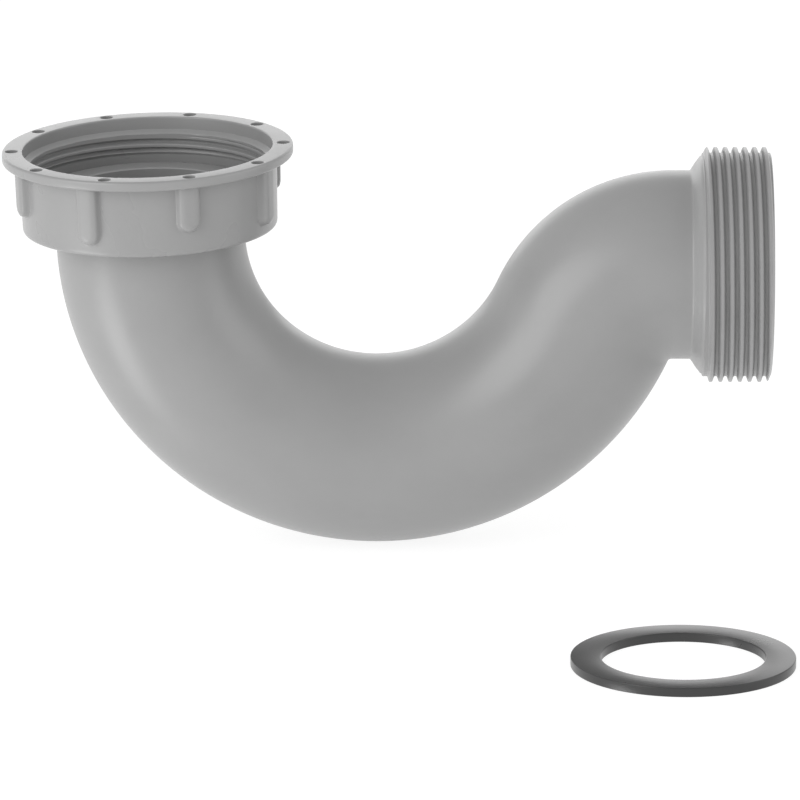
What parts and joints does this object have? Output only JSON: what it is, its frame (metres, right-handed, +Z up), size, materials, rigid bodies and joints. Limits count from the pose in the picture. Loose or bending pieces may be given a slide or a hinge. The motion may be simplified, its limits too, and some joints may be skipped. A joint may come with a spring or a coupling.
{
  "type": "basin trap",
  "caption": "Tubular trap bend with a ribbed captive nut at its inlet, an externally threaded outlet with a pipe socket, and a loose flat sealing washer.",
  "frame": {"origin": "centre of the inlet seat: the flat top of the bend's inlet flange, on the inlet axis", "axes": "+Z up along the inlet axis, +X towards the outlet, which falls 2 degrees below +X; the side seen in the picture is -Y"},
  "size_m": [0.1822, 0.1685, 0.1014],
  "materials": {
    "bend_plastic": "satin grey polypropylene",
    "nut_plastic": "satin grey polypropylene",
    "washer_rubber": "smooth dark grey rubber"
  },
  "bodies": {
    "bend": {"trap_bend": "bend_plastic", "sealing_washer": "washer_rubber"},
    "nut": {"inlet_nut": "nut_plastic"}
  },
  "joints": [
    {"name": "nut_turn", "type": "hinge", "parent": "bend", "child": "nut", "pos_m": [0, 0, 0], "axis": [0, 0, 1], "continuous": true}
  ]
}
